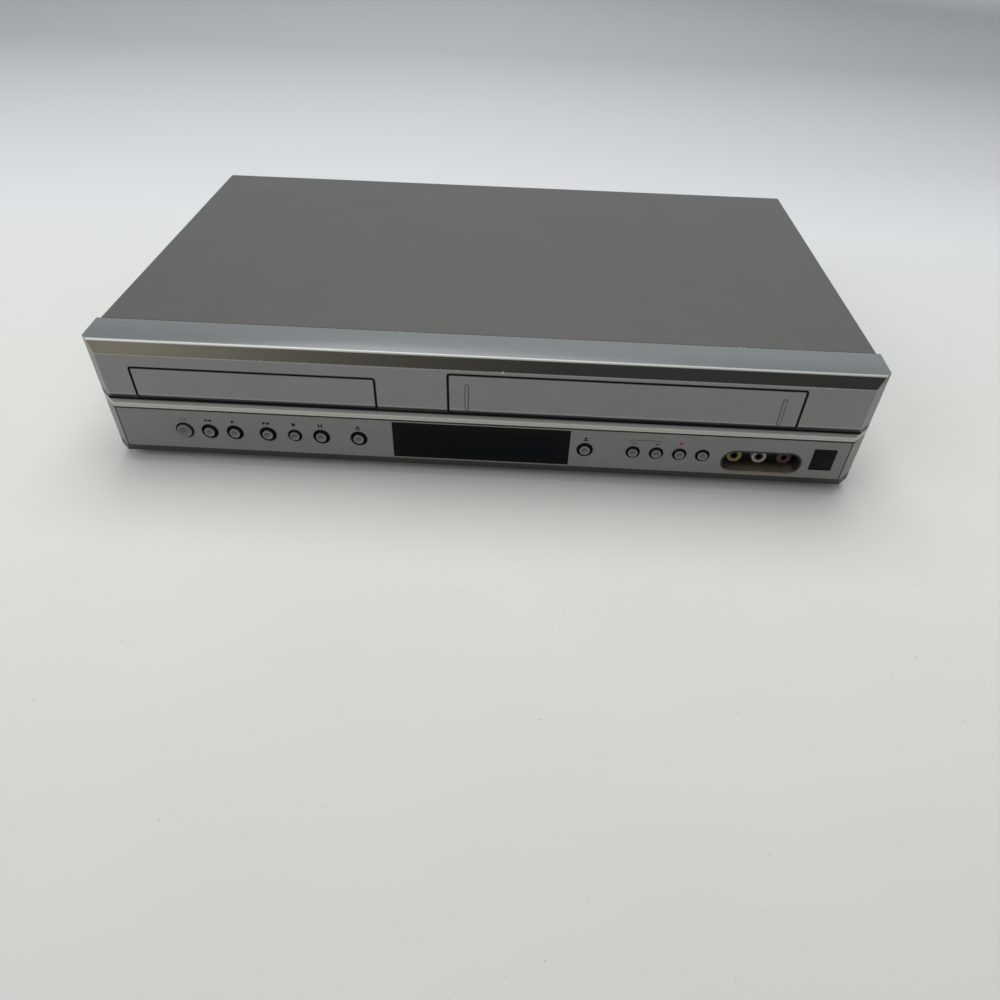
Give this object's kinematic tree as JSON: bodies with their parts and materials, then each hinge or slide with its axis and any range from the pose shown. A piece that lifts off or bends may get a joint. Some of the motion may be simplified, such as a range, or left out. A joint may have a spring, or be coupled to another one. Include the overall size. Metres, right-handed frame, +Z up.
{
  "type": "dvd vcr combo player",
  "caption": "Slim desktop disc and video cassette player with a sliding disc tray, a hinged cassette flap, press buttons, a dark display window and a row of front jacks.",
  "frame": {"origin": "on the ground under the middle of the outer box", "axes": "+X to the right seen from the front, +Y to the back, +Z up"},
  "size_m": [0.43, 0.2658, 0.0785],
  "materials": {
    "case_paint": "fine textured grey paint",
    "zinc_sheet": "galvanised sheet",
    "deck_steel": "plated sheet",
    "polished_steel": "polished",
    "drum_metal": "turned and polished",
    "silver_plastic": "satin silver paint",
    "button_plastic": "satin silver",
    "window_plastic": "smoked and glossy",
    "black_plastic": "fine grain",
    "grey_plastic": "moulded",
    "white_plastic": "moulded",
    "tray_plastic": "fine grain",
    "yellow_plastic": "glossy",
    "pale_plastic": "glossy",
    "red_plastic": "glossy",
    "rubber": "matt",
    "board": "green lacquered board",
    "brown_board": "brown pressed board",
    "screw_steel": "blackened"
  },
  "bodies": {
    "case": {"front_panel": "silver_plastic", "display_window": "window_plastic", "av_pocket": "black_plastic", "video_jack": "yellow_plastic", "left_audio_jack": "pale_plastic", "right_audio_jack": "red_plastic", "front_board": "brown_board", "top_cover": "case_paint", "bottom_pan": "zinc_sheet", "rear_panel": "zinc_sheet", "cover_screws": "screw_steel", "feet": "rubber", "rear_jack_block": "black_plastic", "power_inlet": "black_plastic", "loader_frame": "grey_plastic", "tray_motor": "polished_steel", "tray_belt": "rubber", "clamp_bridge": "deck_steel", "deck_plate": "deck_steel", "holder_brackets": "deck_steel", "lower_drum": "drum_metal", "tape_heads": "polished_steel", "main_board": "board", "power_board": "brown_board"},
    "tray": {"disc_tray": "tray_plastic", "tray_door": "silver_plastic"},
    "tray_gear": {"tray_gear": "white_plastic"},
    "pickup": {"pickup_chassis": "deck_steel", "pickup_motors": "polished_steel", "guide_rods": "polished_steel"},
    "turntable": {"turntable": "black_plastic"},
    "sled": {"pickup_sled": "black_plastic"},
    "feed_screw": {"feed_screw": "polished_steel"},
    "clamper": {"clamper": "white_plastic"},
    "cassette_door": {"cassette_door": "silver_plastic", "door_spring": "polished_steel"},
    "carriage": {"carriage_sliders": "white_plastic"},
    "holder": {"cassette_holder": "deck_steel"},
    "supply_reel": {"supply_reel": "black_plastic"},
    "takeup_reel": {"takeup_reel": "black_plastic"},
    "idler_arm": {"idler_arm": "deck_steel"},
    "idler_gear": {"idler_gear": "rubber"},
    "upper_drum": {"upper_drum": "drum_metal"},
    "supply_guide": {"supply_guide": "grey_plastic"},
    "takeup_guide": {"takeup_guide": "grey_plastic"},
    "capstan": {"capstan": "polished_steel"},
    "pinch_arm": {"pinch_arm": "deck_steel"},
    "pinch_roller": {"pinch_roller": "rubber"},
    "power_button": {"power_button": "button_plastic"},
    "rewind_button": {"rewind_button": "button_plastic"},
    "play_button": {"play_button": "button_plastic"},
    "fast_forward_button": {"fast_forward_button": "button_plastic"},
    "stop_button": {"stop_button": "button_plastic"},
    "pause_button": {"pause_button": "button_plastic"},
    "open_close_button": {"open_close_button": "button_plastic"},
    "eject_button": {"eject_button": "button_plastic"},
    "tracking_down_button": {"tracking_down_button": "button_plastic"},
    "tracking_up_button": {"tracking_up_button": "button_plastic"},
    "record_button": {"record_button": "button_plastic"},
    "source_button": {"source_button": "button_plastic"}
  },
  "joints": [
    {"name": "tray_slide", "type": "slide", "parent": "case", "child": "tray", "axis": [0, -1, 0], "range_m": [0, 0.14]},
    {"name": "tray_gear_turn", "type": "hinge", "parent": "case", "child": "tray_gear", "pos_m": [-0.07735, -0.10135, 0.0467], "axis": [0, 0, 1], "range_deg": [-804, 0]},
    {"name": "pickup_tip", "type": "hinge", "parent": "case", "child": "pickup", "pos_m": [-0.12435, 0.02735, 0.028], "axis": [1, 0, 0], "range_deg": [0, 3]},
    {"name": "turntable_spin", "type": "hinge", "parent": "pickup", "child": "turntable", "pos_m": [-0.12435, -0.05465, 0.0545], "axis": [0, 0, 1], "continuous": true},
    {"name": "clamper_spin", "type": "hinge", "parent": "case", "child": "clamper", "pos_m": [-0.12435, -0.05465, 0.0545], "axis": [0, 0, 1], "continuous": true},
    {"name": "sled_slide", "type": "slide", "parent": "pickup", "child": "sled", "axis": [0, 1, 0], "range_m": [0, 0.032]},
    {"name": "feed_screw_turn", "type": "hinge", "parent": "pickup", "child": "feed_screw", "pos_m": [-0.09735, -0.05465, 0.038], "axis": [0, 1, 0], "range_deg": [0, 1921]},
    {"name": "cassette_door_swing", "type": "hinge", "parent": "case", "child": "cassette_door", "pos_m": [0.077, -0.12615, 0.0668], "axis": [1, 0, 0], "range_deg": [0, 80], "stiffness_Nm_per_rad": 0.01, "springref_deg": -17.19},
    {"name": "carriage_slide", "type": "slide", "parent": "case", "child": "carriage", "axis": [0, 1, 0], "range_m": [0, 0.022]},
    {"name": "holder_drop", "type": "slide", "parent": "carriage", "child": "holder", "axis": [0, 0, -1], "range_m": [0, 0.016]},
    {"name": "supply_reel_spin", "type": "hinge", "parent": "case", "child": "supply_reel", "pos_m": [0.0315, -0.04715, 0.02], "axis": [0, 0, 1], "continuous": true},
    {"name": "takeup_reel_spin", "type": "hinge", "parent": "case", "child": "takeup_reel", "pos_m": [0.1225, -0.04715, 0.02], "axis": [0, 0, 1], "continuous": true},
    {"name": "idler_swing", "type": "hinge", "parent": "case", "child": "idler_arm", "pos_m": [0.077, -0.02115, 0.02], "axis": [0, 0, 1], "range_deg": [-13, 13]},
    {"name": "idler_spin", "type": "hinge", "parent": "idler_arm", "child": "idler_gear", "pos_m": [0.077, -0.04715, 0.02], "axis": [0, 0, 1], "continuous": true},
    {"name": "drum_spin", "type": "hinge", "parent": "case", "child": "upper_drum", "pos_m": [0.073, 0.04885, 0.0212], "axis": [0, -0.0872, 0.9962], "continuous": true},
    {"name": "takeup_guide_swing", "type": "hinge", "parent": "case", "child": "takeup_guide", "pos_m": [0.073, 0.04885, 0.02], "axis": [0, 0, 1], "range_deg": [0, 105]},
    {"name": "supply_guide_swing", "type": "hinge", "parent": "case", "child": "supply_guide", "pos_m": [0.073, 0.04885, 0.02], "axis": [0, 0, 1], "range_deg": [-105, 0]},
    {"name": "capstan_spin", "type": "hinge", "parent": "case", "child": "capstan", "pos_m": [0.141, 0.02085, 0.02], "axis": [0, 0, 1], "continuous": true},
    {"name": "pinch_arm_swing", "type": "hinge", "parent": "case", "child": "pinch_arm", "pos_m": [0.165, 0.02085, 0.033], "axis": [0, 0, 1], "range_deg": [0, 32]},
    {"name": "pinch_roller_spin", "type": "hinge", "parent": "pinch_arm", "child": "pinch_roller", "pos_m": [0.1502, 0.03974, 0.033], "axis": [0, 0, 1], "continuous": true},
    {"name": "power_button_press", "type": "slide", "parent": "case", "child": "power_button", "axis": [0, 1, 0], "range_m": [0, 0.0005], "stiffness_N_per_m": 400, "springref_m": -0.0005},
    {"name": "rewind_button_press", "type": "slide", "parent": "case", "child": "rewind_button", "axis": [0, 1, 0], "range_m": [0, 0.0005], "stiffness_N_per_m": 400, "springref_m": -0.0005},
    {"name": "play_button_press", "type": "slide", "parent": "case", "child": "play_button", "axis": [0, 1, 0], "range_m": [0, 0.0005], "stiffness_N_per_m": 400, "springref_m": -0.0005},
    {"name": "fast_forward_button_press", "type": "slide", "parent": "case", "child": "fast_forward_button", "axis": [0, 1, 0], "range_m": [0, 0.0005], "stiffness_N_per_m": 400, "springref_m": -0.0005},
    {"name": "stop_button_press", "type": "slide", "parent": "case", "child": "stop_button", "axis": [0, 1, 0], "range_m": [0, 0.0005], "stiffness_N_per_m": 400, "springref_m": -0.0005},
    {"name": "pause_button_press", "type": "slide", "parent": "case", "child": "pause_button", "axis": [0, 1, 0], "range_m": [0, 0.0005], "stiffness_N_per_m": 400, "springref_m": -0.0005},
    {"name": "open_close_button_press", "type": "slide", "parent": "case", "child": "open_close_button", "axis": [0, 1, 0], "range_m": [0, 0.0005], "stiffness_N_per_m": 400, "springref_m": -0.0005},
    {"name": "eject_button_press", "type": "slide", "parent": "case", "child": "eject_button", "axis": [0, 1, 0], "range_m": [0, 0.0005], "stiffness_N_per_m": 400, "springref_m": -0.0005},
    {"name": "tracking_down_button_press", "type": "slide", "parent": "case", "child": "tracking_down_button", "axis": [0, 1, 0], "range_m": [0, 0.0005], "stiffness_N_per_m": 400, "springref_m": -0.0005},
    {"name": "tracking_up_button_press", "type": "slide", "parent": "case", "child": "tracking_up_button", "axis": [0, 1, 0], "range_m": [0, 0.0005], "stiffness_N_per_m": 400, "springref_m": -0.0005},
    {"name": "record_button_press", "type": "slide", "parent": "case", "child": "record_button", "axis": [0, 1, 0], "range_m": [0, 0.0005], "stiffness_N_per_m": 400, "springref_m": -0.0005},
    {"name": "source_button_press", "type": "slide", "parent": "case", "child": "source_button", "axis": [0, 1, 0], "range_m": [0, 0.0005], "stiffness_N_per_m": 400, "springref_m": -0.0005}
  ],
  "couplings": [
    {"joint": "tray_gear_turn", "follows": "tray_slide", "rad_per_m": -100},
    {"joint": "clamper_spin", "follows": "turntable_spin", "ratio": 1},
    {"joint": "feed_screw_turn", "follows": "sled_slide", "rad_per_m": 1047.2},
    {"joint": "holder_drop", "follows": "carriage_slide", "ratio": 0.72727},
    {"joint": "supply_guide_swing", "follows": "takeup_guide_swing", "ratio": -1}
  ]
}
